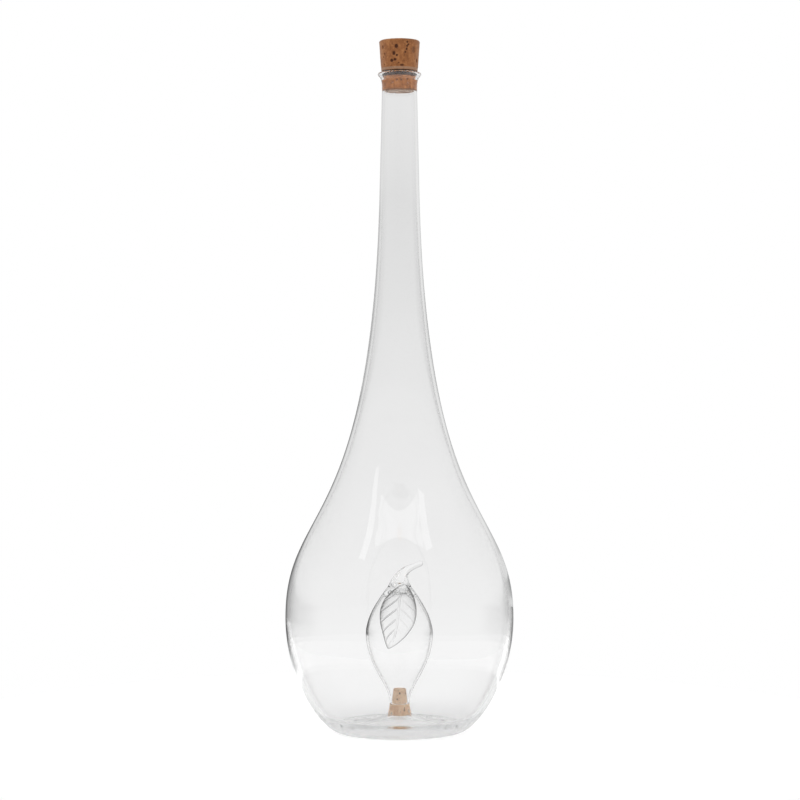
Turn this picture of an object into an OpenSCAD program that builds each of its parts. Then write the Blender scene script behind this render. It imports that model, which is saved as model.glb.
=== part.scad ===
// A hand-blown clear glass bottle with a second small vessel blown inside it.
// The outer bottle is a teardrop with a long, slowly widening neck and a tapered cork.
// The inner vessel is a fruit on a tube. The tube is fused into the raised centre of the
// base and is filled, and corked, from below. A pressed glass leaf hangs from its stalk.
// Origin: centre of the ring that the bottle stands on, +Z up, front towards -Y.

/* [Outer bottle] */
// Height of the glass, from the table to the top of the lip
glass_h = 329; // [280:1:400]
// Widest outside diameter of the belly
belly_d = 114; // [94:1:138]
// Height of the widest place of the belly
belly_h = 57; // [50:1:68]
// Length of the straight neck, from the end of the shoulder's curve to the flare
neck_l = 50.4; // [30:0.2:80]
// How much wider the neck is at its foot than at its top
neck_spread = 2.3; // [0:0.1:8]
// Fullness of the shoulder: how much of its climb the belly stays upright
shoulder_full = 0.27; // [0.2:0.01:0.35]
// Slimness of the shoulder: how much of its climb already leans into the neck
shoulder_slim = 0.81; // [0.7:0.01:0.88]

/* [Base] */
// Outside diameter of the ring that touches the table
foot_d = 60; // [54:0.5:72]
// Width of that ring, to where the raised centre begins
foot_ring_w = 6; // [3:0.5:9]
// Height of the raised centre of the base
punt_h = 7.3; // [5:0.1:12]
// Roundness of the outer heel, measured outwards along the table
heel_reach = 8; // [4:0.5:14]
// Length over which the heel turns up into the belly
heel_lift = 32; // [24:1:38]

/* [Glass walls] */
// Glass at the heel
heel_wall = 3; // [2.4:0.1:4.5]
// Glass in the middle of the raised centre of the base
floor_wall = 2; // [1.6:0.1:3]
// Glass at the belly
belly_wall = 1.7; // [1.2:0.1:3]
// Glass of the neck
neck_wall = 1.35; // [1.1:0.05:2]

/* [Mouth] */
// Bore of the neck just under the lip
mouth_bore_d = 15; // [12:0.1:19]
// How far the flared lip stands out from the neck
lip_out = 2.05; // [1.6:0.05:3]
// Height of the flare below the top of the lip
flare_h = 8.6; // [7:0.1:12]
// Thickness of the fire-polished edge of the lip
lip_edge = 1.7; // [1.3:0.1:2.1]

/* [Inner vessel] */
// Widest outside diameter of the inner vessel
fruit_d = 33.7; // [30:0.1:38]
// Length from the top of the filler tube to the widest place
fruit_below = 34; // [28:0.5:42]
// Length from the widest place to the crown, where the stalk begins
fruit_above = 24.5; // [20:0.5:30]
// Bore of the filler tube
tube_bore_d = 8.1; // [6.5:0.1:10]
// Glass of the filler tube
tube_wall = 0.95; // [0.8:0.05:1.6]
// Length of the filler tube, from the base to where it widens into the vessel
tube_l = 7.4; // [3.6:0.2:10]
// Glass of the vessel's wall
fruit_wall = 0.8; // [0.7:0.1:2]

/* [Stalk and leaf] */
// Outside diameter of the solid stalk at its root
stalk_d = 11.4; // [9:0.1:14]
// Outside diameter of the stalk at its tip
stalk_tip_d = 2.6; // [2:0.1:4]
// How far the tip of the stalk leans out to the right
stalk_lean = 10.5; // [9:0.5:14]
// Rise of the stalk above the vessel
stalk_rise = 11.2; // [10:0.2:14]
// Width of the leaf
leaf_w = 18.2; // [14:0.2:22]
// Thickness of the leaf
leaf_t = 2; // [1.4:0.1:2.6]
// Air between the leaf and the vessel behind it
leaf_gap = 0.5; // [0.3:0.1:1]
// Height of the leaf's root above the crown, on the front of the stalk
leaf_root_up = 1.4; // [0.8:0.1:2.4]
// How far the leaf hangs down, from its root to its tip
leaf_drop = 31.5; // [26:0.5:38]

/* [Corks] */
// How much wider than the neck's bore the neck cork's lower end is before it is pressed in
cork_squeeze = 1.4; // [0.6:0.1:2.6]
// How much wider the neck cork is at its top than at its lower end
cork_spread = 4.1; // [2:0.1:5]
// Length of the neck cork
cork_l = 25.4; // [22:0.1:30]
// How much of the neck cork stands above the lip
cork_proud = 16; // [12:0.1:18]
// How far below the lip the mouth lets go of the neck cork
cork_grip_end = 3.5; // [2:0.5:5]
// How far above the lip the neck cork has swollen back to its own taper
cork_swell_end = 3; // [1:0.5:5]
// How much wider than the tube's bore the filler cork's lower end is before it is pressed in
plug_squeeze = 1; // [0.4:0.1:1.3]
// How much narrower the filler cork's upper end is than its lower end
plug_spread = 2.7; // [2:0.1:3.2]
// Length of the filler cork
plug_l = 14.8; // [12:0.1:18]
// Gap between a pressed-in cork and the glass around it
cork_clear = 0.05; // [0.03:0.01:0.1]
// Bevel round the ends of both corks
cork_bevel = 0.6; // [0.3:0.1:1]

/* [Hidden] */
$fn = 96;
GLASS = [0.86, 0.92, 0.93, 0.35];
CORK = [0.66, 0.46, 0.3];

// Steps that the outlines are drawn in.
heel_steps = 18;
shoulder_steps = 40;
flare_steps = 8;
lip_step = 15;
punt_steps = 12;
fruit_steps = 18;
crown_steps = 14;
cork_steps = 32;

// A cubic curve through its first and last point, pulled towards the two between them.
function curve_point(p, t) =
    pow(1 - t, 3) * p[0] + 3 * t * pow(1 - t, 2) * p[1]
    + 3 * t * t * (1 - t) * p[2] + pow(t, 3) * p[3];
function curve(p, steps) = [for (i = [0 : steps]) curve_point(p, i / steps)];
// The same curve without its first point, to follow on from another one.
function curve_on(p, steps) = [for (i = [1 : steps]) curve_point(p, i / steps)];
function last(list) = list[len(list) - 1];
function reversed(list) = [for (i = [len(list) - 1 : -1 : 0]) list[i]];
// Radius at height h of an outline that climbs from its first point to its last.
function radius_at(outline, h) = lookup(h, [for (p = outline) [p[1], p[0]]]);
// Unit direction of an outline at point i, from its neighbours.
function heading(outline, i) =
    let (run = outline[min(i + 1, len(outline) - 1)] - outline[max(i - 1, 0)]) run / norm(run);
// The outline moved to the left of its heading, by the wall that belongs to each height.
function inset(outline, walls) = [
    for (i = [0 : len(outline) - 1])
        let (way = heading(outline, i), wall = lookup(outline[i][1], walls))
        outline[i] + wall * [-way[1], way[0]]
];

// Outer bottle: heel, shoulder and neck, from the table up.
foot_r = foot_d / 2;
belly_r = belly_d / 2;
mouth_bore_r = mouth_bore_d / 2;
neck_top_r = mouth_bore_r + neck_wall;
neck_foot_r = neck_top_r + neck_spread / 2;
neck_taper = (neck_foot_r - neck_top_r) / neck_l;
neck_top_h = glass_h - flare_h;
neck_foot_h = neck_top_h - neck_l;
climb = neck_foot_h - belly_h;
heel_curve = [
    [foot_r, 0],
    [foot_r + heel_reach, 0],
    [belly_r, belly_h - heel_lift],
    [belly_r, belly_h]
];
shoulder_curve = [
    [belly_r, belly_h],
    [belly_r, belly_h + shoulder_full * climb],
    [neck_foot_r + neck_taper * shoulder_slim * climb, neck_foot_h - shoulder_slim * climb],
    [neck_foot_r, neck_foot_h]
];
body_line = concat(
    curve(heel_curve, heel_steps),
    curve_on(shoulder_curve, shoulder_steps),
    [[neck_top_r, neck_top_h]]
);

// Inside of the bottle: the same line, moved in by the glass at each height.
walls = [[0, heel_wall], [belly_h, belly_wall], [neck_foot_h, neck_wall], [neck_top_h, neck_wall]];
inside_line = inset(body_line, walls);

// Flared lip: the two faces of the neck lean out to a fire-polished, half-round edge.
lip_round = lip_edge / 2;
lip_mid = [neck_top_r + lip_out - lip_round, glass_h - lip_round];
lip_lean = 45;
function lip_point(a) = lip_mid + lip_round * [cos(a - lip_lean), sin(a - lip_lean)];
function flare(r, edge) = [
    [r, neck_top_h],
    [r, neck_top_h + flare_h / 2],
    edge - flare_h / 4 * [sin(lip_lean), cos(lip_lean)],
    edge
];
flare_out = curve_on(flare(neck_top_r, lip_point(0)), flare_steps);
flare_in = curve_on(flare(mouth_bore_r, lip_point(180)), flare_steps);
lip_arc = [for (a = [lip_step : lip_step : 180 - lip_step]) lip_point(a)];

// Raised centre of the base: level at the foot ring and at the middle.
punt_r = foot_r - foot_ring_w;
function punt_at(r) = punt_h * (1 + cos(180 * r / punt_r)) / 2;
tube_bore_r = tube_bore_d / 2;
tube_r = tube_bore_r + tube_wall;
tube_end_h = punt_at(tube_r);
punt_radii = [for (i = [0 : punt_steps]) punt_r + (tube_r - punt_r) * i / punt_steps];
under_line = [for (r = punt_radii) [r, punt_at(r)]];
// The floor above it: its glass thins from the heel to the middle.
function floor_at(r) =
    punt_at(r) + floor_wall + (heel_wall - floor_wall) * (r - tube_r) / (punt_r - tube_r);
floor_line = [for (r = punt_radii) [r, floor_at(r)]];

module bottle_body() {
    color(GLASS)
        rotate_extrude()
            polygon(concat(
                body_line,
                flare_out,
                lip_arc,
                reversed(flare_in),
                reversed(inside_line),
                floor_line,
                reversed(under_line)
            ));
}

// Inner vessel: the filler tube widens into the fruit, which narrows to its crown.
fruit_r = fruit_d / 2;
stalk_r = stalk_d / 2;
tube_top_h = tube_end_h + tube_l;
fruit_h = tube_top_h + fruit_below;
crown_h = fruit_h + fruit_above;
end_pull = 9;
fruit_pull = 16;
crown_lean = 37;
fruit_curve = [
    [tube_r, tube_top_h],
    [tube_r, tube_top_h + end_pull],
    [fruit_r, fruit_h - fruit_pull],
    [fruit_r, fruit_h]
];
crown_curve = [
    [fruit_r, fruit_h],
    [fruit_r, fruit_h + end_pull],
    [stalk_r, crown_h] + end_pull * [sin(crown_lean), -cos(crown_lean)],
    [stalk_r, crown_h]
];
fruit_line = concat(curve(fruit_curve, fruit_steps), curve_on(crown_curve, crown_steps));
fruit_walls = [[tube_top_h, tube_wall], [fruit_h, fruit_wall], [crown_h, fruit_wall]];
hollow_line = inset(fruit_line, fruit_walls);
// The hollow ends in a blunt cone, whose point lies just under the crown.
hollow_cone = 5.2;
crown_glass = 0.8;
hollow_side = [for (p = hollow_line) if (p[1] < crown_h - hollow_cone) p];

module inner_vessel() {
    color(GLASS)
        rotate_extrude()
            polygon(concat(
                [[tube_bore_r, tube_end_h], [tube_r, tube_end_h]],
                fruit_line,
                [[0, crown_h], [0, crown_h - crown_glass]],
                reversed(hollow_side)
            ));
}

// A solid drawn along a path that lies in the XZ plane: one round ring of points for each
// [place, heading, radius].
module drawn_rod(rings, sides) {
    points = [
        for (ring = rings)
            let (way = ring[1], across = [way[2], 0, -way[0]])
            for (k = [0 : sides - 1])
                let (a = 360 * k / sides)
                ring[0] + ring[2] * (cos(a) * across + sin(a) * [0, 1, 0])
    ];
    round_faces = [
        for (i = [0 : len(rings) - 2], k = [0 : sides - 1])
            let (next = (k + 1) % sides, a = i * sides, b = a + sides)
            each [[a + k, b + k, b + next], [a + k, b + next, a + next]]
    ];
    first_end = [for (k = [1 : sides - 2]) [0, k, k + 1]];
    top = (len(rings) - 1) * sides;
    last_end = [for (k = [1 : sides - 2]) [top, top + k + 1, top + k]];
    polyhedron(points, concat(round_faces, first_end, last_end));
}

// The stalk: a solid horn that leaves the crown upright and leans out to the right.
// Its bend is drawn in shares of its lean and of its rise.
stalk_bend = [[0, 0], [0, 0.55], [0.2, 0.72], [1, 1]];
stalk_path = [for (b = stalk_bend) [b[0] * stalk_lean, 0, crown_h + b[1] * stalk_rise]];
stalk_tip_r = stalk_tip_d / 2;
stalk_thinning = 1.9;
stalk_upright = 4;
stalk_upright_fade = 4;
stalk_way_step = 0.01;
stalk_rings = 12;
stalk_sides = 24;
tip_angles = [0, 30, 60];
function stalk_r_at(t) = stalk_tip_r + (stalk_r - stalk_tip_r) * pow(1 - t, stalk_thinning);
// Direction that a ring of the stalk faces: upright at the root, then along the path.
function stalk_way(t) =
    let (
        ahead = curve_point(stalk_path, t + stalk_way_step),
        run = ahead - curve_point(stalk_path, t - stalk_way_step),
        way = run / norm(run) + pow(1 - t, stalk_upright_fade) * [0, 0, stalk_upright]
    )
    way / norm(way);

module vessel_stem() {
    body = [
        for (i = [0 : stalk_rings - 1])
            let (t = i / stalk_rings)
            [curve_point(stalk_path, t), i > 0 ? stalk_way(t) : [0, 0, 1], stalk_r_at(t)]
    ];
    tip = [
        for (a = tip_angles)
            [
                last(stalk_path) + stalk_tip_r * sin(a) * stalk_way(1),
                stalk_way(1),
                stalk_tip_r * cos(a)
            ]
    ];
    color(GLASS) drawn_rod(concat(body, tip), stalk_sides);
}

// A closed sheet between two grids of points, a back and a front, row after row.
module closed_sheet(back, front, rows, columns) {
    f = rows * columns;
    faces = [
        for (i = [0 : rows - 2], j = [0 : columns - 2])
            let (a = i * columns + j, b = a + 1, c = a + columns, d = c + 1)
            each [[a, b, d], [a, d, c], [f + a, f + d, f + b], [f + a, f + c, f + d]]
    ];
    sides = [
        for (i = [0 : rows - 2])
            let (a = i * columns, c = a + columns, b = c - 1, d = b + columns)
            each [[a, c, f + c], [a, f + c, f + a], [b, f + d, d], [b, f + b, f + d]]
    ];
    ends = [
        for (a = [0 : columns - 2])
            let (b = a + 1, c = (rows - 1) * columns + a, d = c + 1)
            each [[a, f + a, f + b], [a, f + b, b], [c, d, f + d], [c, f + d, f + c]]
    ];
    polyhedron(concat(back, front), concat(faces, sides, ends));
}

// The leaf: an almond that follows the front of the vessel, from the stalk to its tip.
leaf_root_h = crown_h + leaf_root_up;
leaf_root_w = 3.4;
leaf_root_t = 3.6;
leaf_bite = 1.1;
leaf_root_round = 4;
leaf_root_fade = 4;
leaf_edge_share = 0.4;
leaf_cut = 0.01;
// Sideways places that the midrib passes or leans to, from the root to the tip.
leaf_sway = [2.2, -2.6, 1.6, -5.6];
leaf_rows = 15;
leaf_columns = 9;
leaf_front = concat(fruit_line, [[stalk_r, crown_h + leaf_root_round]]);
leaf_ts = [for (i = [0 : leaf_rows - 1]) leaf_cut + (1 - 2 * leaf_cut) * i / (leaf_rows - 1)];
leaf_ss = [for (j = [0 : leaf_columns - 1]) 2 * j / (leaf_columns - 1) - 1];
// Half width along the leaf: a round almond, widest above its middle, with a short neck.
leaf_widest = 0.85;
leaf_fullness = 0.75;
function leaf_half(t) = max(
    leaf_root_w / 2 * (1 - t),
    leaf_w / 2 * pow(sin(180 * pow(t, leaf_widest)), leaf_fullness)
);
function leaf_x(t, s) = curve_point(leaf_sway, t) + s * leaf_half(t);
function leaf_z(t) = leaf_root_h - leaf_drop * t;
// The back of the leaf stands off the vessel, but its root is melted into the stalk.
leaf_melt = 12;
function leaf_lift(t) = leaf_gap - (leaf_gap + leaf_bite) * pow(1 - t, leaf_melt);
// The glass is thickest at the root and along the midrib, and thin at the edges.
function leaf_thick(t, s) =
    (leaf_t + (leaf_root_t - leaf_t) * pow(1 - t, leaf_root_fade))
    * (1 - (1 - leaf_edge_share) * s * s);
// A point of the leaf: lift is its height off the vessel behind it.
function leaf_point(t, s, lift) =
    let (x = leaf_x(t, s), r = radius_at(leaf_front, leaf_z(t)) + lift)
    [x, -sqrt(max(r * r - x * x, 0)), leaf_z(t)];

module leaf() {
    back = [for (t = leaf_ts, s = leaf_ss) leaf_point(t, s, leaf_lift(t))];
    front = [for (t = leaf_ts, s = leaf_ss) leaf_point(t, s, leaf_lift(t) + leaf_thick(t, s))];
    color(GLASS) closed_sheet(back, front, leaf_rows, leaf_columns);
}

// Radius of a tapered cork at height h above its lower end.
function taper_at(h, end_d, top_d, length) = (end_d + (top_d - end_d) * h / length) / 2;
// The neck cork: tapered, pressed to the shape of the glass where that is narrower, and
// swelling back to its taper where it comes free of the mouth.
cork_end_d = mouth_bore_d + cork_squeeze;
cork_top_d = cork_end_d + cork_spread;
cork_in = cork_l - cork_proud;
cork_low = glass_h - cork_in;
mouth_line = concat([[mouth_bore_r, neck_top_h]], flare_in);
function free_r(h) = taper_at(h, cork_end_d, cork_top_d, cork_l);
function squeezed_r(h) = min(free_r(h), radius_at(mouth_line, cork_low + h) - cork_clear);
grip_end = cork_in - cork_grip_end;
swell_end = cork_in + cork_swell_end;
function swollen_r(h) = lookup(h, [[grip_end, squeezed_r(grip_end)], [swell_end, free_r(swell_end)]]);
function neck_cork_r(h) =
    h < grip_end ? squeezed_r(h) : h < cork_in ? min(squeezed_r(h), swollen_r(h)) : swollen_r(h);

module neck_cork() {
    side = [
        for (i = [0 : cork_steps])
            let (h = cork_bevel + (swell_end - cork_bevel) * i / cork_steps)
            [neck_cork_r(h), cork_low + h]
    ];
    color(CORK)
        rotate_extrude()
            polygon(concat(
                [[0, cork_low], [neck_cork_r(0) - cork_bevel, cork_low]],
                side,
                [
                    [cork_top_d / 2, cork_low + cork_l - cork_bevel],
                    [cork_top_d / 2 - cork_bevel, cork_low + cork_l],
                    [0, cork_low + cork_l]
                ]
            ));
}

// The filler cork: pushed up into the tube until its end is flush with the base.
plug_r = tube_bore_r - cork_clear;
plug_top_r = plug_r + cork_clear + (plug_squeeze - plug_spread) / 2;
plug_grip = plug_l * (plug_squeeze / 2 + cork_clear) / (plug_spread / 2);

module filler_cork() {
    color(CORK)
        rotate_extrude()
            polygon([
                [0, tube_end_h],
                [plug_r - cork_bevel / 2, tube_end_h],
                [plug_r, tube_end_h + cork_bevel / 2],
                [plug_r, tube_end_h + plug_grip],
                [plug_top_r, tube_end_h + plug_l - cork_bevel / 2],
                [plug_top_r - cork_bevel / 2, tube_end_h + plug_l],
                [0, tube_end_h + plug_l]
            ]);
}

bottle_body();
inner_vessel();
vessel_stem();
leaf();
neck_cork();
filler_cork();
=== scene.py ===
# %% [markdown]
# The object is a hand-blown bottle with a second vessel blown inside it.
# The outer glass is a teardrop with a long neck. Inside it stands a pointed fruit of glass on
# a filler tube, with its end drawn out to a stalk and a pressed leaf hanging from it. A big
# cork shuts the neck, and a small one shuts the filler tube from below.
#
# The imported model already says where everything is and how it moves. This lesson gives each
# piece the shape and finish that the eye sees: fire-polished edges, a leaf with veins, corks
# with real pits, and glass that bends light as laboratory glass does. The sizes that the
# frame holds are read from it, and the few others are written here in metres.

import math
import random

import bmesh
import bpy
import numpy as np
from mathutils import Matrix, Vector, noise


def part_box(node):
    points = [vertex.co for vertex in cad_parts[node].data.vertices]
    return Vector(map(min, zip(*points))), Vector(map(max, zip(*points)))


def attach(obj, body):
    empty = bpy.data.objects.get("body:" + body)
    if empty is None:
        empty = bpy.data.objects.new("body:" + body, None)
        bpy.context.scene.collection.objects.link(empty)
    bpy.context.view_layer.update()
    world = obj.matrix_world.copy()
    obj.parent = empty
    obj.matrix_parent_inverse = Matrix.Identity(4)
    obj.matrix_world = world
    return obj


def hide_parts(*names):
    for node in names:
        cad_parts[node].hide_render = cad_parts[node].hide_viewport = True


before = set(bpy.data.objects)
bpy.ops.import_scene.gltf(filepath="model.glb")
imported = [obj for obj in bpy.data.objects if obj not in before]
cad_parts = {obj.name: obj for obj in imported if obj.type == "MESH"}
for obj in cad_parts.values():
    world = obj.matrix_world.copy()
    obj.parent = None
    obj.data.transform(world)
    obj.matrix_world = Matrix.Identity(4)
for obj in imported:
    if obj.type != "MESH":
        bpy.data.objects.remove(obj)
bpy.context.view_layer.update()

# %% [markdown]
# The camera comes first, because every look is judged through it. The bottle was seen from
# the front, level with the middle of its height, from a little over a metre away. A long
# lens from there keeps the sides of the neck straight. The height of the eye shows in how
# the two ends of the neck cork curve: the upper rim bows up, and the lower one bows down.

# %% camera
eye = Vector((0.00025, -1.15, 0.1655))
pixel = 0.0005
half_picture = 400 * pixel
camera = bpy.data.objects.new("camera", bpy.data.cameras.new("camera"))
camera.data.sensor_width = 36
camera.data.lens = camera.data.sensor_width / 2 * -eye.y / half_picture
camera.location = eye
camera.rotation_euler = (math.radians(90), 0, 0)
bpy.context.scene.collection.objects.link(camera)
bpy.context.scene.camera = camera
print("lens", round(camera.data.lens, 1), "mm")

# %% [markdown]
# Every outline here is a line of points (distance from the axis, height). Long sweeps are
# cubic curves, because blown glass has no kinks: two end points and two points that pull.
# The inside of a wall is the same line moved in by the glass. Pushing it along its own
# normal keeps the wall even on a slope, where a plain change of radius would thin it.

# %% outlines
def sweep(start, pull_a, pull_b, end, steps):
    """Points of a cubic curve from start to end, pulled towards the two points between."""
    t = np.linspace(0, 1, steps + 1)[:, None]
    shares = ((1 - t) ** 3, 3 * t * (1 - t) ** 2, 3 * t * t * (1 - t), t**3)
    corners = (start, pull_a, pull_b, end)
    return sum(share * np.array(corner, float) for share, corner in zip(shares, corners))


def straight(start, end, steps):
    """Evenly spaced points of a straight line."""
    return np.linspace(start, end, steps + 1)


def arc(middle, radius, first, final, steps):
    """Points of an arc round middle, from one angle to another, in degrees."""
    angles = np.radians(np.linspace(first, final, steps + 1))
    return np.array(middle) + radius * np.column_stack([np.cos(angles), np.sin(angles)])


def follow(*lines):
    """Joins lines end to end, leaving out points that lie on the one before."""
    points = []
    for point in np.concatenate(lines):
        if not points or np.linalg.norm(point - points[-1]) > 1e-6:
            points.append(point)
    return np.array(points)


def moved_in(line, heights, walls):
    """The line moved to its left by the wall that belongs to each height."""
    way = np.gradient(line, axis=0)
    way /= np.linalg.norm(way, axis=1)[:, None]
    wall = np.interp(line[:, 1], heights, walls)[:, None]
    return line + wall * np.column_stack([-way[:, 1], way[:, 0]])


# %% [markdown]
# A turned piece is its outline swung round the axis. Doing it in mesh code, rather than with
# a modifier, gives rings of points that later steps can push about: no blown bottle is quite
# round, so a soft swell of a few tenths of a millimetre runs over the glass and makes the
# light wander in it. The swell only goes inwards, so a piece keeps its largest size, and it
# dies out where two pieces meet.

# %% turned pieces
turns = 192


def swell(points, size, seed):
    """A soft random height from 0 to 1 at each point, with bumps of about the given size."""
    shift = Vector((seed, 0, 0))
    field = [noise.noise(Vector(point) / size + shift) for point in points]
    return np.clip(0.5 + 0.7 * np.array(field), 0, 1)


def rings_of(line, around=turns):
    """The points of a turned line, ring after ring, as an array of rings x points x 3."""
    angle = 2 * np.pi * np.arange(around) / around
    rings = np.empty((len(line), around, 3))
    rings[:, :, 0] = line[:, 0, None] * np.cos(angle)
    rings[:, :, 1] = line[:, 0, None] * np.sin(angle)
    rings[:, :, 2] = line[:, 1, None]
    return rings


def uneven(rings, depths, size, seed):
    """Pushes turned rings towards the axis by a soft random share of each ring's depth."""
    share = swell(rings.reshape(-1, 3), size, seed).reshape(rings.shape[:2])
    reach = np.maximum(np.linalg.norm(rings[:, :, :2], axis=2), 1e-6)
    depth = np.broadcast_to(depths, len(rings))[:, None]
    rings[:, :, :2] *= (1 - depth * share / reach)[:, :, None]
    return rings


def skin(rings, closed=False):
    """Quads between neighbouring rings, and from the last ring to the first if closed."""
    count, around = rings.shape[:2]
    faces = []
    for i in range(count if closed else count - 1):
        a, b = i * around, (i + 1) % count * around
        faces += [(a + k, a + (k + 1) % around, b + (k + 1) % around, b + k) for k in range(around)]
    return faces


def capped(rings, start, end):
    """Points and faces of rings whose two ends close on a point each."""
    count, around = rings.shape[:2]
    points = np.concatenate([rings.reshape(-1, 3), [start, end]])
    low, high, top = count * around, count * around + 1, (count - 1) * around
    faces = skin(rings)
    faces += [(low, (k + 1) % around, k) for k in range(around)]
    faces += [(high, top + k, top + (k + 1) % around) for k in range(around)]
    return points, faces


def piece(name, points, faces):
    """A smooth-shaded mesh object from points and faces."""
    mesh = bpy.data.meshes.new(name)
    mesh.from_pydata(np.asarray(points).reshape(-1, 3).tolist(), [], faces)
    mesh.polygons.foreach_set("use_smooth", [True] * len(mesh.polygons))
    made = bpy.data.objects.new(name, mesh)
    bpy.context.scene.collection.objects.link(made)
    print(name, len(mesh.vertices), "points")
    return made


# %% [markdown]
# The outer bottle. Its outside climbs from the foot ring over a round heel to the belly, and
# then leans in over a long shoulder to a neck that widens a little downwards. The mouth
# flares to a fire-polished lip. The wall is thick at the heel, where the glass gathers, and
# thin at the neck, where it was drawn.

# %% sizes of the outer bottle
glass_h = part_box("bottle_body")[1].z
belly_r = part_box("bottle_body")[1].x
belly_h = 0.057
foot_r, heel_reach, heel_lift = 0.030, 0.008, 0.032
neck_top_r, neck_foot_r, neck_l = 0.00885, 0.010, 0.0504
shoulder_full, shoulder_slim = 0.27, 0.81
flare_h, lip_out, lip_round = 0.0086, 0.00205, 0.00085
neck_top_h = glass_h - flare_h
neck_foot_h = neck_top_h - neck_l
neck_lean = (neck_foot_r - neck_top_r) / neck_l
climb = neck_foot_h - belly_h
wall_heights = [0, belly_h, neck_foot_h, neck_top_h]
wall_glass = [0.0030, 0.0017, 0.00135, 0.00135]
mouth_r = neck_top_r - wall_glass[-1]
print("belly", round(2000 * belly_r), "mm wide, mouth", round(2000 * mouth_r, 1), "mm")

# %% outlines of the wall and the lip
belly_point = (belly_r, belly_h)
neck_foot = (neck_foot_r, neck_foot_h)
neck_top = (neck_top_r, neck_top_h)
heel_pull = (foot_r + heel_reach, 0)
belly_low = (belly_r, belly_h - heel_lift)
belly_high = (belly_r, belly_h + shoulder_full * climb)
neck_pull = (neck_foot_r + neck_lean * shoulder_slim * climb, neck_foot_h - shoulder_slim * climb)
wall_out = follow(
    sweep((foot_r, 0), heel_pull, belly_low, belly_point, 60),
    sweep(belly_point, belly_high, neck_pull, neck_foot, 130),
    straight(neck_foot, neck_top, 30),
)
wall_in = moved_in(wall_out, wall_heights, wall_glass)

lip_lean = math.radians(45)
lip_middle = (neck_top_r + lip_out - lip_round, glass_h - lip_round)
lip = arc(lip_middle, lip_round, -45, 135, 20)
lean_back = flare_h / 4 * np.array([math.sin(lip_lean), math.cos(lip_lean)])


def flare(radius, edge):
    """One face of the flared mouth, from the neck up to a point on the lip's edge."""
    return sweep((radius, neck_top_h), (radius, neck_top_h + flare_h / 2), edge - lean_back, edge, 24)


flare_out = flare(neck_top_r, lip[0])
flare_in = flare(mouth_r, lip[-1])
print("lip", round(2000 * lip[:, 0].max(), 1), "mm wide")

# %% [markdown]
# The base. From below it is a ring that stands on the table, and a dome pushed up inside the
# ring. The floor above follows the dome. Where it meets the wall, blown glass has a round
# hollow and never a corner, so one more curve joins the two lines. The filler tube of the
# inner vessel is fused into the top of the dome. There both are one glass, so this mesh
# takes in the tube as far as the floor reaches up its side, and the seam with the fruit lies
# level, just above, where a seam is hardest to see.

# %% sizes of the base
punt_r, punt_h = 0.024, 0.0073
heel_glass, middle_glass = 0.0030, 0.0020
tube_r, bore_r, tube_l = 0.0050, 0.00405, 0.0074
tube_end_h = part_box("inner_vessel")[0].z
tube_top_h = tube_end_h + tube_l
seam = 0.00002
foot_round = 0.0009
rim_round = 0.0007
heel_round = 0.0062
floor_end_r, wall_start_h = 0.019, 0.0105


def punt_at(radius):
    """Height of the pushed-up dome at a distance from the axis."""
    return punt_h * (1 + np.cos(np.pi * radius / punt_r)) / 2


def floor_at(radius):
    """Height of the floor above the dome: its glass thins towards the middle."""
    return punt_at(radius) + np.interp(radius, [tube_r, punt_r], [middle_glass, heel_glass])


def unit(way):
    """The way at length 1."""
    return way / np.linalg.norm(way)


# %% outlines of the base
floor_radii = np.linspace(floor_end_r, tube_r + 2 * rim_round, 36)
floor_line = np.column_stack([floor_radii, floor_at(floor_radii)])
tube_top = np.array([tube_r, tube_top_h - seam])
collar = sweep(
    floor_line[-1],
    floor_line[-1] + rim_round * unit(floor_line[-1] - floor_line[-2]),
    tube_top - (0, rim_round),
    tube_top,
    10,
)
wall_start = int(np.argmax(wall_in[:, 1] > wall_start_h))
heel_hollow = sweep(
    wall_in[wall_start],
    wall_in[wall_start] - heel_round * unit(wall_in[wall_start + 1] - wall_in[wall_start]),
    floor_line[0] - heel_round * unit(floor_line[1] - floor_line[0]),
    floor_line[0],
    28,
)
bore_foot = (bore_r, tube_end_h + rim_round)
bore_turn = (bore_r, tube_end_h + rim_round / 3)
rim_end = (bore_r + rim_round, punt_at(bore_r + rim_round))
rim_turn = (bore_r + rim_round / 3, punt_at(bore_r + rim_round / 3))
under_radii = np.linspace(rim_end[0], punt_r - foot_round, 60)
under_line = np.column_stack([under_radii, punt_at(under_radii)])
base_line = follow(
    straight(tube_top, (bore_r, tube_top_h - seam), 4),
    straight((bore_r, tube_top_h - seam), bore_foot, 8),
    sweep(bore_foot, bore_turn, rim_turn, rim_end, 8),
    under_line,
    sweep(under_line[-1], (punt_r - foot_round / 3, 0), (punt_r, 0), (punt_r + foot_round, 0), 8),
    straight((punt_r + foot_round, 0), (foot_r, 0), 6),
)
print("floor", 1000 * middle_glass, "mm thick at the tube, which ends", round(1000 * tube_end_h, 2), "mm up")

# %% the outer bottle as a mesh
outer_line = follow(wall_out, flare_out, lip)
inner_line = follow(lip[-1:], flare_in[::-1], wall_in[wall_start:][::-1], heel_hollow, floor_line, collar)[1:]
out_swell, in_swell = 0.00012, 0.00030
heights, radii = inner_line[:, 1], inner_line[:, 0]
quiet = np.interp(heights, [neck_foot_h, neck_top_h], [1, 0]) * np.interp(radii, [tube_r, 2 * tube_r], [0, 1])
bottle_rings = np.concatenate(
    [
        uneven(rings_of(outer_line), out_swell, 0.05, 3),
        uneven(rings_of(inner_line), in_swell * quiet, 0.035, 7),
        rings_of(base_line[1:-1]),
    ]
)
bottle = piece("bottle_glass", bottle_rings, skin(bottle_rings, closed=True))
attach(bottle, "bottle")
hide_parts("bottle_body")

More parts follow.
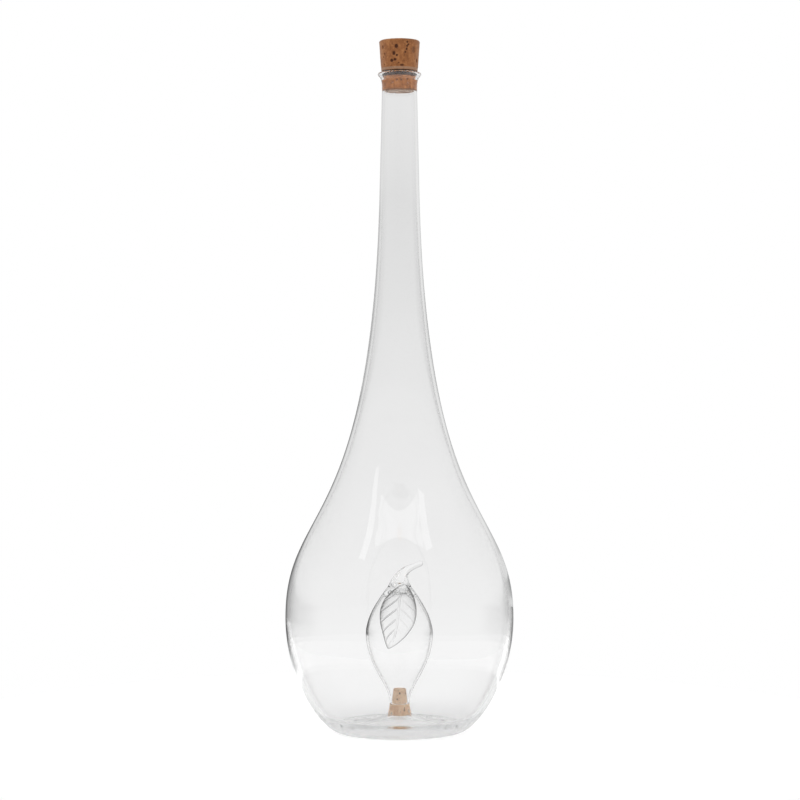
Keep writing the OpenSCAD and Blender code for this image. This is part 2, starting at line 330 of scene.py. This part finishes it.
# %% [markdown]
# The inner vessel was blown as one piece: a tube that widens into a fruit and closes to a
# crown, whose solid end was drawn out and bent to the right while soft. The stalk is the
# same glass, so fruit and stalk are one mesh here and stand for both nodes. Rings make that
# easy: they lie level up to the crown, and tilt along the stalk's path after it.

# %% outlines of the inner vessel
crown_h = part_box("inner_vessel")[1].z
fruit_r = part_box("inner_vessel")[1].x
fruit_h = tube_top_h + 0.034
fruit_glass = 0.0008
stalk_r = 0.0057
end_pull, fruit_pull = 0.009, 0.016
crown_lean = math.radians(37)
fruit_low, fruit_wide = (tube_r, tube_top_h), (fruit_r, fruit_h)
crown_pull = (stalk_r + end_pull * math.sin(crown_lean), crown_h - end_pull * math.cos(crown_lean))
vessel_out = follow(
    sweep(fruit_low, (tube_r, tube_top_h + end_pull), (fruit_r, fruit_h - fruit_pull), fruit_wide, 70),
    sweep(fruit_wide, (fruit_r, fruit_h + end_pull), crown_pull, (stalk_r, crown_h), 50),
)
hollow = moved_in(vessel_out, [tube_top_h, fruit_h, crown_h], [tube_r - bore_r, fruit_glass, fruit_glass])
hollow_end_h = crown_h - 0.0052
hollow = hollow[hollow[:, 1] < hollow_end_h]
hollow_way = unit(hollow[-1] - hollow[-2])
roof_h = crown_h - 0.0008
roof = sweep(hollow[-1], hollow[-1] + 0.0022 * hollow_way, (0.0007, roof_h), (0, roof_h), 16)
print("fruit", round(2000 * fruit_r, 1), "mm wide, hollow up to", round(1000 * roof_h, 1), "mm")

# %% [markdown]
# The stalk follows a cubic curve from the middle of the crown. It is thick where it leaves
# the crown and thins quickly, as drawn glass does, and its end is a small round bead.

# %% the stalk as rings
stalk_tip_r = 0.0013
stalk_lean, stalk_rise = 0.0105, 0.0112
stalk_bend = ((0, 0), (0, 0.55), (0.2, 0.72), (1, 1))
stalk_thinning, stalk_steps, set_upright = 1.9, 44, 4
bend = [np.array((stalk_lean * x, 0, crown_h + stalk_rise * z)) for x, z in stalk_bend]
stalk_middles = sweep(*bend, stalk_steps)
stalk_ways = np.gradient(stalk_middles, axis=0)


def stalk_ring(middle, way, radius):
    """A round ring of points that faces along the stalk."""
    across = np.array((way[2], 0, -way[0]))
    angle = 2 * np.pi * np.arange(turns)[:, None] / turns
    return middle + radius * (np.cos(angle) * across + np.sin(angle) * np.array((0, 1, 0)))


stalk_rings = []
for step in range(1, stalk_steps + 1):
    left = 1 - step / stalk_steps
    way = unit(unit(stalk_ways[step]) + set_upright * left**4 * np.array((0, 0, 1)))
    radius = stalk_tip_r + (stalk_r - stalk_tip_r) * left**stalk_thinning
    stalk_rings.append(stalk_ring(stalk_middles[step], way, radius))
for lift in np.radians((15, 30, 45, 60, 75)):
    bead = stalk_middles[-1] + stalk_tip_r * math.sin(lift) * way
    stalk_rings.append(stalk_ring(bead, way, stalk_tip_r * math.cos(lift)))
stalk_end = stalk_middles[-1] + stalk_tip_r * way
print("stalk ends", [round(1000 * v, 1) for v in stalk_end])

# %% the inner vessel as a mesh
inside_line = follow(roof[::-1][1:], hollow[::-1])
fruit_swell = 0.00012
quiet = np.interp(inside_line[:, 1], [tube_top_h, tube_top_h + 0.008], [0, 1])
vessel_rings = np.concatenate(
    [
        uneven(rings_of(inside_line), fruit_swell * quiet, 0.012, 17),
        rings_of(straight((bore_r, tube_top_h), (tube_r, tube_top_h), 3)[1:-1]),
        rings_of(vessel_out),
        np.array(stalk_rings),
    ]
)
crown = len(vessel_rings) - len(stalk_rings)
for _ in range(8):
    for ring in range(crown - 4, crown + 3):
        before, after = vessel_rings[ring - 1], vessel_rings[ring + 1]
        vessel_rings[ring] = (before + 2 * vessel_rings[ring] + after) / 4
points, faces = capped(vessel_rings, (0, 0, roof_h), stalk_end)
vessel = piece("fruit_and_stalk", points, faces)
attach(vessel, "bottle")
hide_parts("inner_vessel", "vessel_stem")

# %% [markdown]
# The leaf. A dab of hot glass was laid on the root of the stalk and squeezed in tongs with a
# leaf cut into them, so it carries a midrib and slanting veins as real grooves. It could be
# a flat plate with a bump map, but veins in glass are seen by how they bend light, and only
# real relief does that. It is a sheet of points, along the leaf and across it, that hangs in
# front of the fruit. Its edges are round, because fire rounds every edge of pressed glass.

# %% sizes of the leaf
leaf_root_h = crown_h + 0.0014
leaf_drop = 0.0315
leaf_w, leaf_root_w = 0.0182, 0.0034
leaf_t, leaf_root_t = 0.0020, 0.0036
leaf_gap, leaf_bite = 0.0005, 0.0007
leaf_widest, leaf_fullness = 0.85, 0.75
leaf_sway = (0.0022, -0.0026, 0.0016, -0.0056)
leaf_rows, leaf_columns = 170, 110
vein_depth, vein_w = 0.00060, 0.0005
vein_gap, first_vein, vein_fall = 0.0051, 0.0057, 0.0074
faint_side = 0.35
front_line = follow(vessel_out, straight((stalk_r, crown_h), (stalk_r, crown_h + 0.004), 1))


def leaf_half(t):
    """Half width of the leaf at a share of its length: a round almond with a short neck."""
    almond = leaf_w / 2 * math.sin(math.pi * t**leaf_widest) ** leaf_fullness
    return max(leaf_root_w / 2 * (1 - t), almond)


def groove(distance, width):
    """Depth of a soft groove: 1 at its middle line and 0 past its half width."""
    share = min(abs(distance) / width, 1)
    return (1 - share * share) ** 2


def leaf_relief(t, s):
    """How deep the midrib and the veins cut into the front, at shares of length and width."""
    fade = min(1, 6 * t) * min(1, 5 * (1 - t)) * (1 - abs(s) ** 6)
    beside = abs(s) * leaf_half(t)
    row = (leaf_drop * t - vein_fall * abs(s) - first_vein) / vein_gap
    vein = groove((row - round(row)) * vein_gap, vein_w) * min(1, beside / (2 * vein_w))
    pressed_in = 1 if s < 0 else faint_side
    return vein_depth * fade * max(vein * pressed_in, 0.8 * groove(beside, 1.4 * vein_w))


def leaf_point(middle, t, s, lift):
    """A point that stands off the front of the vessel, at shares of length and width."""
    height = leaf_root_h - leaf_drop * t
    x = middle + s * leaf_half(t)
    reach = np.interp(height, front_line[:, 1], front_line[:, 0]) + lift
    return (x, -math.sqrt(max(reach * reach - x * x, 0)), height)


# %% the leaf as a mesh
cut, tip_share = 0.006, 0.1
rows = np.linspace(cut, 1 - cut, leaf_rows)
middles = np.interp(rows, np.linspace(0, 1, 61), sweep(*[(x, 0) for x in leaf_sway], 60)[:, 0])
columns = np.sin(np.linspace(-np.pi / 2, np.pi / 2, leaf_columns))
back, front = [], []
for t, middle in zip(rows, middles):
    body_t = leaf_t + (leaf_root_t - leaf_t) * (1 - t) ** 4
    tip_round = math.sqrt(max(1 - (max(0, t - 1 + tip_share) / tip_share) ** 2, 0.02))
    lift = leaf_gap - (leaf_gap + leaf_bite) * (1 - t) ** 12 + body_t / 2
    for s in columns:
        half_t = body_t * tip_round * (1 - 0.15 * s * s) * math.sqrt(max(1 - abs(s) ** 8, 0)) / 2
        back.append(leaf_point(middle, t, s, lift - half_t))
        front.append(leaf_point(middle, t, s, lift + half_t - leaf_relief(t, s) * tip_round))
leaf_faces = []
side = leaf_rows * leaf_columns
for i in range(leaf_rows - 1):
    for j in range(leaf_columns - 1):
        a, b = i * leaf_columns + j, (i + 1) * leaf_columns + j
        leaf_faces.append((a, b, b + 1, a + 1))
        leaf_faces.append((side + a, side + a + 1, side + b + 1, side + b))
for j in range(leaf_columns - 1):
    a, b = j, (leaf_rows - 1) * leaf_columns + j
    leaf_faces.append((a, a + 1, side + a + 1, side + a))
    leaf_faces.append((b, side + b, side + b + 1, b + 1))
leaf = piece("pressed_leaf", back + front, leaf_faces)
edge_melt = 0.00001
shape = bmesh.new()
shape.from_mesh(leaf.data)
bmesh.ops.remove_doubles(shape, verts=shape.verts, dist=edge_melt)
bmesh.ops.recalc_face_normals(shape, faces=shape.faces)
shape.to_mesh(leaf.data)
shape.free()
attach(leaf, "bottle")
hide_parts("leaf")

# %% [markdown]
# The corks. Natural cork is cut from bark across the grain, and its breathing pores open on
# the cut as dark pits: a few big ones, many specks, and here and there a row where a pore
# ran along the cut. Pits painted on a smooth cork look printed, so here they are pressed
# into the mesh, and each point remembers how deep it went, for the colour to use later. The
# pits in front are listed one by one, and the rest fall where a seeded draw puts them.

# %% pits in cork
def evenly(line, step):
    """The line again, with points at an even step."""
    runs = np.concatenate([[0], np.cumsum(np.linalg.norm(np.diff(line, axis=0), axis=1))])
    marks = np.linspace(0, runs[-1], int(round(runs[-1] / step)) + 1)
    return np.column_stack([np.interp(marks, runs, line[:, axis]) for axis in (0, 1)])


def side_pit(angle, radius, height, across, tall, depth):
    """A pit in the side of a cork: its middle, its two directions and half sizes, its depth."""
    middle = np.array((radius * math.sin(angle), -radius * math.cos(angle), height))
    return middle, ((math.cos(angle), math.sin(angle), 0), across), ((0, 0, 1), tall), depth


def end_pit(angle, reach, height, across, tall, depth):
    """A pit in an end face of a cork."""
    middle = np.array((reach * math.cos(angle), reach * math.sin(angle), height))
    return middle, ((1, 0, 0), across), ((0, 1, 0), tall), depth


def pressed(points, pits):
    """How deep each point lies under the pits, as the deepest of them says."""
    deep = np.zeros(len(points))
    for middle, (way_a, size_a), (way_b, size_b), depth in pits:
        off = points - middle
        near = np.linalg.norm(off, axis=1) < 3 * max(size_a, size_b)
        a, b = off[near] @ np.array(way_a) / size_a, off[near] @ np.array(way_b) / size_b
        deep[near] = np.maximum(deep[near], depth * np.clip(1.25 - 1.25 * (a * a + b * b), 0, 1) ** 0.7)
    return deep


def cork_piece(name, line, step, around, pits, roughen, seed):
    """A turned cork with pits and a slightly torn skin, and the pits' depth on each point."""
    line = evenly(line, step)
    rings = rings_of(line[1:-1], around)
    points, faces = capped(rings, (0, 0, line[0, 1]), (0, 0, line[-1, 1]))
    made = piece(name, points, faces)
    normals = np.empty(3 * len(points))
    made.data.vertices.foreach_get("normal", normals)
    deep = pressed(points, pits)
    torn = roughen * (swell(points, 0.0008, seed) + swell(points, 0.0025, seed + 9)) / 2
    points = points - (deep + torn)[:, None] * normals.reshape(-1, 3)
    made.data.vertices.foreach_set("co", points.ravel())
    mark = made.data.attributes.new("pit", "FLOAT", "POINT")
    mark.data.foreach_set("value", np.clip(deep / 0.0006, 0, 1))
    made.data.update()
    return made


def drawn_pits(seed, count, top, low_h, high_h, radius, front_free):
    """Pits round the side and on the ends of a cork, most of them small."""
    draw = random.Random(seed)
    pits = []
    for _ in range(count):
        angle = draw.uniform(front_free, 2 * math.pi - front_free)
        height = draw.uniform(low_h, high_h)
        size = top * draw.random() ** 2.2 + 0.00018
        pits.append(side_pit(angle, radius(height), height, size, size * draw.uniform(0.8, 2.2), 1.3 * size))
    for end_h in (low_h, high_h):
        for _ in range(count // 4):
            reach = (radius(end_h) - 0.0012) * math.sqrt(draw.random())
            size = top * draw.random() ** 2 + 0.00020
            stretch = draw.uniform(0.8, 3)
            pits.append(end_pit(draw.uniform(0, 2 * math.pi), reach, end_h, size * stretch, size, 1.2 * size))
    return pits


# %% [markdown]
# The neck cork is a cone, squeezed where it fills the mouth. Its radius is therefore the
# smaller of two: that of the free cork, and that of the glass. A press of a hundredth of a
# millimetre into the glass stands for the close contact that lets the eye see the cork
# through the wall as if it were on the outside.

# %% the neck cork
cork_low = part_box("neck_cork")[0].z
cork_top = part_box("neck_cork")[1].z
cork_low_r, cork_top_r = 0.00820, 0.01025
free_h = glass_h + np.array((-0.0035, -0.0015, 0.0003, 0.0030))
free_r = (0.00785, 0.00845, 0.00900, 0.00935)
cork_bevel, foot_bevel, torn_skin = 0.0006, 0.0002, 0.00009
cork_press = torn_skin + 0.00001
glass_in = follow(wall_in[-20:], flare_in)


def neck_cork_r(height):
    """Radius of the neck cork: its own taper, or less where the mouth squeezes it."""
    squeezed = np.interp(height, glass_in[:, 1], glass_in[:, 0]) + cork_press
    swollen = np.interp(height, [*free_h, cork_top], [*free_r, cork_top_r])
    return np.where(height < free_h[0], np.minimum(cork_low_r, squeezed), swollen)


side_h = np.linspace(cork_low + foot_bevel, cork_top - cork_bevel, 120)
low_r, top_r = neck_cork_r(cork_low), cork_top_r
neck_cork_line = follow(
    straight((0, cork_low), (low_r - foot_bevel, cork_low), 4),
    np.column_stack([neck_cork_r(side_h), side_h]),
    straight((top_r - cork_bevel, cork_top), (0, cork_top), 4),
)
front_pits = [
    (-1.60, 3.96, 0.95, 1.10, 0.54),
    (-2.78, 7.43, 0.84, 1.10, 0.48),
    (-1.34, 8.42, 0.68, 0.68, 0.36),
    (-3.87, 10.95, 0.95, 0.85, 0.48),
    (-2.23, 10.50, 0.85, 0.75, 0.42),
    (-3.57, 2.87, 0.60, 0.60, 0.12),
    (3.96, 1.88, 0.70, 0.60, 0.30),
    (4.41, 3.07, 0.60, 0.60, 0.36),
    (3.87, 3.87, 0.60, 0.60, 0.36),
    (3.62, 5.30, 0.55, 0.80, 0.36),
    (2.87, 6.84, 0.60, 0.60, 0.30),
    (7.28, 4.56, 1.20, 1.00, 0.18),
    (7.09, 6.00, 1.30, 1.20, 0.18),
    (8.62, 10.40, 0.70, 1.20, 0.36),
    (-8.37, 3.96, 0.50, 1.20, 0.30),
    (-7.43, 7.28, 0.50, 0.60, 0.24),
    (-7.98, 8.87, 0.50, 0.60, 0.24),
    (-7.53, 12.60, 0.50, 0.60, 0.24),
    (1.29, 13.28, 1.30, 0.60, 0.30),
    (-4.56, 14.37, 0.90, 0.50, 0.24),
    (-0.45, 12.19, 0.50, 0.50, 0.24),
    (-1.14, 20.37, 0.50, 0.50, 0.24),
    (0.89, 20.30, 0.50, 0.50, 0.24),
    (3.50, 19.80, 0.50, 0.50, 0.24),
    (-3.46, 21.50, 0.70, 0.60, 0.18),
    (4.05, 21.90, 0.50, 0.50, 0.18),
]
pits = drawn_pits(11, 90, 0.0006, cork_low, cork_top, neck_cork_r, math.radians(75))
for x, down, across, tall, depth in np.array(front_pits) / 1000:
    reach = float(neck_cork_r(cork_top - down))
    pits.append(side_pit(math.asin(x / reach), reach, cork_top - down, across, tall, depth))
neck_cork = cork_piece("neck_stopper_cork", neck_cork_line, 0.0002, 300, pits, torn_skin, 21)
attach(neck_cork, "neck_stopper")
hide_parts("neck_cork")

# %% the filler cork
plug_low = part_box("filler_cork")[0].z
plug_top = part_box("filler_cork")[1].z
plug_top_r, plug_bevel, plug_grip = 0.0032, 0.0003, 0.0060


def plug_r(height):
    """Radius of the filler cork: it fills the bore, and tapers above it."""
    return np.interp(height, [plug_low + plug_grip, plug_top], [bore_r + cork_press, plug_top_r])


side_h = np.linspace(plug_low + plug_bevel, plug_top - plug_bevel, 60)
plug_line = follow(
    straight((0, plug_low), (bore_r - plug_bevel, plug_low), 4),
    np.column_stack([plug_r(side_h), side_h]),
    straight((plug_top_r - plug_bevel, plug_top), (0, plug_top), 4),
)
pits = drawn_pits(5, 46, 0.00028, plug_low, plug_top, plug_r, 0)
plug = cork_piece("filler_stopper_cork", plug_line, 0.00015, 160, pits, 0.00005, 31)
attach(plug, "filler_stopper")
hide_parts("filler_cork")

# %% [markdown]
# Materials are node trees. Two small helpers keep them readable: Nodes makes any node in one
# call, with its settings first and then its sockets, and Wire wraps an output so that plain
# Python arithmetic adds the Math nodes.

# %% shader maths
class Wire:
    """An output socket that adds Math nodes when it is used in Python arithmetic."""

    def __init__(self, nodes, socket):
        self.nodes, self.socket = nodes, socket

    def maths(self, operation, a, b):
        return self.nodes.add("ShaderNodeMath", {"operation": operation}, {0: a, 1: b})

    def __add__(self, other):
        return self.maths("ADD", self, other)

    def __sub__(self, other):
        return self.maths("SUBTRACT", self, other)

    def __rsub__(self, other):
        return self.maths("SUBTRACT", other, self)

    def __mul__(self, other):
        return self.maths("MULTIPLY", self, other)

    def __gt__(self, other):
        return self.maths("GREATER_THAN", self, other)

    def most(self, other):
        return self.maths("MAXIMUM", self, other)

    __radd__ = __add__
    __rmul__ = __mul__


class Nodes:
    """The node tree of a material or of the world."""

    def __init__(self, owner):
        owner.use_nodes = True
        self.tree = owner.node_tree
        self.tree.nodes.clear()

    def add(self, kind, settings=None, sockets=None, out=0):
        """Makes a node: its settings, then the values or wires of its sockets."""
        node = self.tree.nodes.new(kind)
        for name, value in (settings or {}).items():
            if name == "stops":
                for place, colour in value[2:]:
                    node.color_ramp.elements.new(place)
                for stop, (place, colour) in zip(node.color_ramp.elements, sorted(value)):
                    stop.position, stop.color = place, colour
            else:
                setattr(node, name, value)
        for name, value in (sockets or {}).items():
            if isinstance(value, Wire):
                self.tree.links.new(value.socket, node.inputs[name])
            else:
                node.inputs[name].default_value = value
        return Wire(self, node.outputs[out]) if node.outputs else node

    def mixed(self, factor, first, second, blend="MIX"):
        """One colour mixed into another."""
        settings = {"data_type": "RGBA", "blend_type": blend}
        return self.add("ShaderNodeMix", settings, {0: factor, 6: first, 7: second}, out=2)

    def steps(self, value, stops):
        """A ramp that turns a value into a grey or a colour."""
        return self.add("ShaderNodeValToRGB", {"stops": stops}, {"Fac": value})


def grey(level):
    """A neutral colour."""
    return (level, level, level, 1)


# %% [markdown]
# Clear glass is one shader: full transmission, no roughness, and the bending power of
# laboratory glass. A faint tint inside makes thick places a little darker than thin ones,
# as at the heel. A very shallow ripple in the normal stands for the skin of blown glass.
#
# What draws a glass thing is its dark edge. Here that edge is painted shade: the colour of the
# glass darkens where Layer Weight says the wall is seen at a grazing angle, and each piece
# darkens from its own angle on: the bottle in a hair line, the fruit in a thin one, and the
# leaf already on the slopes of its veins, which the painted shade draws as dark lines.

# %% clear glass
def clear_glass(name, shade_from, shade_to, shade_level):
    """Clear glass with painted shade: its colour darkens where it is seen at a grazing angle."""
    made = bpy.data.materials.new(name)
    nodes = Nodes(made)
    place = nodes.add("ShaderNodeTexCoord", out="Object")
    ripple = nodes.add("ShaderNodeTexNoise", {}, {"Vector": place, "Scale": 70, "Detail": 1})
    skin_normal = nodes.add("ShaderNodeBump", {}, {"Strength": 0.3, "Distance": 0.00004, "Height": ripple})
    grazing = nodes.add("ShaderNodeLayerWeight", {}, {"Blend": 0.5}, out="Facing")
    # painted shade: the glass colour darkens towards a grazing angle
    edge = nodes.steps(grazing, [(shade_from, grey(1)), (shade_to, grey(shade_level))])
    surface = nodes.add(
        "ShaderNodeBsdfPrincipled",
        {},
        {
            "Base Color": edge,
            "Roughness": 0,
            "IOR": 1.474,
            "Transmission Weight": 1,
            "Normal": skin_normal,
        },
    )
    tint = nodes.add("ShaderNodeVolumeAbsorption", {}, {"Color": (0.70, 0.75, 0.74, 1), "Density": 2.5})
    nodes.add("ShaderNodeOutputMaterial", {}, {"Surface": surface, "Volume": tint})
    return made


bottle.data.materials.append(clear_glass("bottle_glass", 0.90, 0.99, 0.97))
vessel.data.materials.append(clear_glass("vessel_glass", 0.68, 0.86, 0.12))
leaf.data.materials.append(clear_glass("leaf_glass", 0.12, 0.42, 0.03))

# %% [markdown]
# Cork is matt and warm. Three sizes of noise make it: blotches as wide as a finger nail's
# edge, grain as fine as sand, and faint streaks along the bark. The depth kept on the points
# darkens the pits, so colour and shape agree. Both corks share the recipe, and differ in how
# dark it is.

# %% cork
def cork_material(name, dark, middle, light, pit_colour, pit_share, bands):
    """Cork from three tones, with its pits darkened and bands of other colours round it, some of them painted
    shade.
    """
    made = bpy.data.materials.new(name)
    nodes = Nodes(made)
    place = nodes.add("ShaderNodeTexCoord", out="Object")
    blotches = nodes.add("ShaderNodeTexNoise", {}, {"Vector": place, "Scale": 420, "Detail": 4})
    grain = nodes.add("ShaderNodeTexNoise", {}, {"Vector": place, "Scale": 1900, "Detail": 3})
    drawn_out = nodes.add("ShaderNodeMapping", {}, {"Vector": place, "Scale": (1, 1, 0.25)})
    streaks = nodes.add("ShaderNodeTexNoise", {}, {"Vector": drawn_out, "Scale": 800, "Detail": 2})
    tone = blotches * 0.45 + grain * 0.30 + streaks * 0.25
    colour = nodes.steps(tone, [(0.36, dark), (0.50, middle), (0.62, light)])
    pit = nodes.add("ShaderNodeAttribute", {"attribute_name": "pit"}, out="Fac")
    colour = nodes.mixed(nodes.steps(pit * pit_share, [(0.03, grey(0)), (0.5, grey(1))]), colour, pit_colour)
    above = nodes.add("ShaderNodeSeparateXYZ", {}, {"Vector": place}, out="Z")
    # bands of another colour at given heights; on the neck cork two of them are painted shade
    for low, high, share, tint in bands:
        inside = [(0, grey(0)), (0.2, grey(share)), (0.8, grey(share)), (1, grey(0))]
        band = nodes.steps((above - low) * (1 / (high - low)), inside)
        colour = nodes.mixed(band, colour, tint)
    height = grain * 0.6 + blotches * 0.4
    rough = nodes.add("ShaderNodeBump", {}, {"Strength": 0.4, "Distance": 0.0001, "Height": height})
    surface = nodes.add(
        "ShaderNodeBsdfPrincipled",
        {},
        {
            "Base Color": colour,
            "Roughness": 0.85,
            "Specular IOR Level": 0.25,
            "Sheen Weight": 0.35,
            "Sheen Tint": (0.9, 0.8, 0.7, 1),
            "Normal": rough,
        },
    )
    nodes.add("ShaderNodeOutputMaterial", {}, {"Surface": surface})
    return made


# the neck cork carries bands round it: painted shade in the crevice under the lip and on its bottom face, and a
# greyer band just above the lip
brown_cork = cork_material(
    "natural_cork",
    (0.170, 0.060, 0.016, 1),
    (0.290, 0.108, 0.034, 1),
    (0.400, 0.170, 0.060, 1),
    (0.070, 0.018, 0.004, 1),
    1,
    [
        # painted shade: a dark ring on the cork in the crevice under the lip, seen through the lip
        (glass_h - 0.0020, glass_h + 0.0011, 1, (0.020, 0.007, 0.003, 1)),
        # a greyer, paler band just above the lip
        (glass_h + 0.0008, glass_h + 0.0023, 0.65, (0.34, 0.22, 0.15, 1)),
        # painted shade: the bottom face of the cork darkened
        (cork_low - 0.0012, cork_low + 0.0012, 0.7, (0.13, 0.07, 0.04, 1)),
    ],
)
pale_cork = cork_material(
    "pale_cork",
    (0.68, 0.40, 0.23, 1),
    (0.86, 0.57, 0.36, 1),
    (0.94, 0.72, 0.51, 1),
    (0.22, 0.10, 0.04, 1),
    0.8,
    [],
)
neck_cork.data.materials.append(brown_cork)
plug.data.materials.append(pale_cork)

# %% [markdown]
# The table is a round pale disc. Its size matters: seen through the belly, its far edge is
# the faint horizon low in the glass. The paper white of the picture is a small glow that
# only rays from the camera and rays through glass see, so the table is white to the eye and
# still takes the bottle's shadow. The rim is rounded down, since a real table has an edge.

# %% table
table_r, table_t, table_edge = 0.25, 0.001, 0.0004
table_line = follow(
    straight((0, 0), (table_r - table_edge, 0), 40),
    arc((table_r - table_edge, -table_edge), table_edge, 90, 0, 8),
    straight((table_r, -table_edge), (table_r, -table_t), 2),
    straight((table_r, -table_t), (0, -table_t), 10),
)
points, faces = capped(rings_of(table_line[1:-1]), (0, 0, 0), (0, 0, -table_t))
table = piece("table", points, [face[::-1] for face in faces])
paint = bpy.data.materials.new("table_paint")
nodes = Nodes(paint)


def ray(nodes, kind):
    """1 for rays of one kind, such as those that come straight from the camera."""
    return nodes.add("ShaderNodeLightPath", out=kind)


by_eye = ray(nodes, "Is Camera Ray")
by_glass = ray(nodes, "Is Glossy Ray").most(ray(nodes, "Is Transmission Ray"))
place = nodes.add("ShaderNodeTexCoord", out="Object")
fleck = nodes.add("ShaderNodeTexNoise", {}, {"Vector": place, "Scale": 300, "Detail": 2})
pale = nodes.steps(fleck, [(0.3, grey(0.54)), (0.7, grey(0.56))])
# painted light: rays that were reflected and crossed glass at most twice see the table glow brighter beyond 11 cm
# from the axis
far = nodes.add("ShaderNodeVectorMath", {"operation": "LENGTH"}, {0: place}, out="Value") > 0.11
along_wall = (ray(nodes, "Glossy Depth") > 0.5) * (1 - (ray(nodes, "Transmission Depth") > 2.5))
glow = 0.39 + 0.4 * far * along_wall
surface = nodes.add(
    "ShaderNodeBsdfPrincipled",
    {},
    {
        "Base Color": pale,
        "Roughness": 0.9,
        "Specular IOR Level": 0.1,
        "Emission Color": by_eye * 0.62 + by_glass * glow,
        "Emission Strength": 1,
    },
)
nodes.add("ShaderNodeOutputMaterial", {}, {"Surface": surface})
table.data.materials.append(paint)

# %% [markdown]
# The world. Glass has no look of its own: it shows what stands around it. Straight through
# the walls the eye sees a light grey studio, paler towards the table, and round it the
# picture is paper white. Rays that bounce off glass on their way see a darker room. That is
# what black cards beside a bottle do for a photographer: they draw a fine line along each
# edge. A card would serve one view only, and the world does it from every side.

# %% world
world = bpy.data.worlds.new("studio")
bpy.context.scene.world = world
nodes = Nodes(world)
towards = nodes.add("ShaderNodeTexCoord", out="Generated")
sideways = nodes.add("ShaderNodeSeparateXYZ", {}, {"Vector": towards}, out="X") * 0.5 + 0.5
upwards = nodes.add("ShaderNodeSeparateXYZ", {}, {"Vector": towards}, out="Z") * 0.5 + 0.5
straight_on = nodes.steps(
    upwards,
    [
        (0.0, grey(0.94)),
        (0.44, grey(0.89)),
        (0.465, grey(0.855)),
        (0.485, grey(0.815)),
        (0.50, grey(0.80)),
        (0.522, grey(0.735)),
        (0.5435, grey(0.70)),
        (0.561, grey(0.77)),
        (1.0, grey(0.70)),
    ],
)
onwards = nodes.add("ShaderNodeSeparateXYZ", {}, {"Vector": towards}, out="Y") * 0.5 + 0.5
card_share = nodes.steps(
    upwards,
    [
        (0.425, grey(0)),
        (0.437, grey(1)),
        (0.51, grey(1)),
        (0.53, grey(0.75)),
        (0.54, grey(0.5)),
        (0.55, grey(0.35)),
        (0.60, grey(0.3)),
    ],
)
outer_card = nodes.steps(
    sideways,
    [
        (0.26, grey(0.50)),
        (0.33, grey(0.32)),
        (0.38, grey(0.16)),
        (0.46, grey(0.06)),
        (0.50, grey(0.18)),
        (0.54, grey(0.42)),
        (0.70, grey(0.62)),
    ],
)
inner_card = nodes.steps(
    sideways, [(0.20, grey(0.30)), (0.27, grey(0.05)), (0.48, grey(0.03)), (0.56, grey(0.25)), (0.75, grey(0.45))]
)
ahead = nodes.steps(onwards, [(0.5, grey(0)), (0.7, grey(1))])
card = nodes.mixed(ray(nodes, "Transmission Depth") > 2.5, outer_card, inner_card)
bounced = nodes.mixed(card_share * ahead, grey(0.88), card)
turned = nodes.steps(onwards, [(0.80, grey(1)), (0.90, grey(0))])
bent = nodes.mixed(turned, straight_on, grey(0.2))
soft = nodes.mixed(ray(nodes, "Glossy Depth") > 0.5, bent, bounced)
by_glass = ray(nodes, "Is Glossy Ray").most(ray(nodes, "Is Transmission Ray"))
from_matt = ray(nodes, "Diffuse Depth") > 0.5
plain = nodes.mixed(by_glass * from_matt, grey(0.85), grey(2.2))
level = nodes.mixed(by_glass - by_glass * from_matt, plain, soft)
level = nodes.mixed(ray(nodes, "Is Camera Ray"), level, grey(1))
background = nodes.add("ShaderNodeBackground", {}, {"Color": level, "Strength": 1})
nodes.add("ShaderNodeOutputWorld", {}, {"Surface": background})

# %% [markdown]
# The lamps. A window high in front draws the bright pane on the shoulder and the two thin
# stripes beside it. Two large soft lamps at the sides model the corks, and stay out of the
# glass, where they would draw lines that the bottle does not show.

# %% lamps
def lamp(name, azimuth, elevation, distance, width, height, brightness, in_glass):
    """A soft lamp that faces the bottle. Brightness 1 is as bright as white paper."""
    light = bpy.data.lights.new(name, "AREA")
    light.shape = "RECTANGLE"
    light.size, light.size_y = width, height
    light.energy = brightness * math.pi * width * height
    made = bpy.data.objects.new(name, light)
    turn, lift = math.radians(azimuth), math.radians(elevation)
    way = Vector((math.sin(turn) * math.cos(lift), -math.cos(turn) * math.cos(lift), math.sin(lift)))
    made.location = distance * way + Vector((0, 0, lamp_aim_h))
    made.rotation_euler = way.to_track_quat("Z", "Y").to_euler()
    made.visible_camera = False
    made.visible_transmission = False
    made.visible_glossy = in_glass
    bpy.context.scene.collection.objects.link(made)


lamp_aim_h = 0.12
lamp("window", -0.5, 52, 1.1, 0.98, 0.092, 1.5, True)
lamp("window_left", -48, 44, 1.1, 0.125, 0.31, 1.9, True)
lamp("window_right", 42, 48, 1.1, 0.145, 0.21, 1.8, True)
lamp("side_left", -65, 30, 1.2, 0.9, 0.9, 0.6, False)
lamp("side_right", 70, 35, 1.2, 0.9, 0.9, 0.3, False)

# %% [markdown]
# A ray through this bottle crosses up to a dozen faces of glass, and one that is cut short
# comes back black. So the number of bounces goes up. Colours are shown as they are, without
# a film look.

# %% render settings that belong to the look
scene = bpy.context.scene
scene.view_settings.view_transform = "Standard"
scene.cycles.max_bounces = 64
scene.cycles.transmission_bounces = 64
scene.cycles.glossy_bounces = 64
scene.cycles.diffuse_bounces = 4
scene.cycles.sample_clamp_indirect = 4
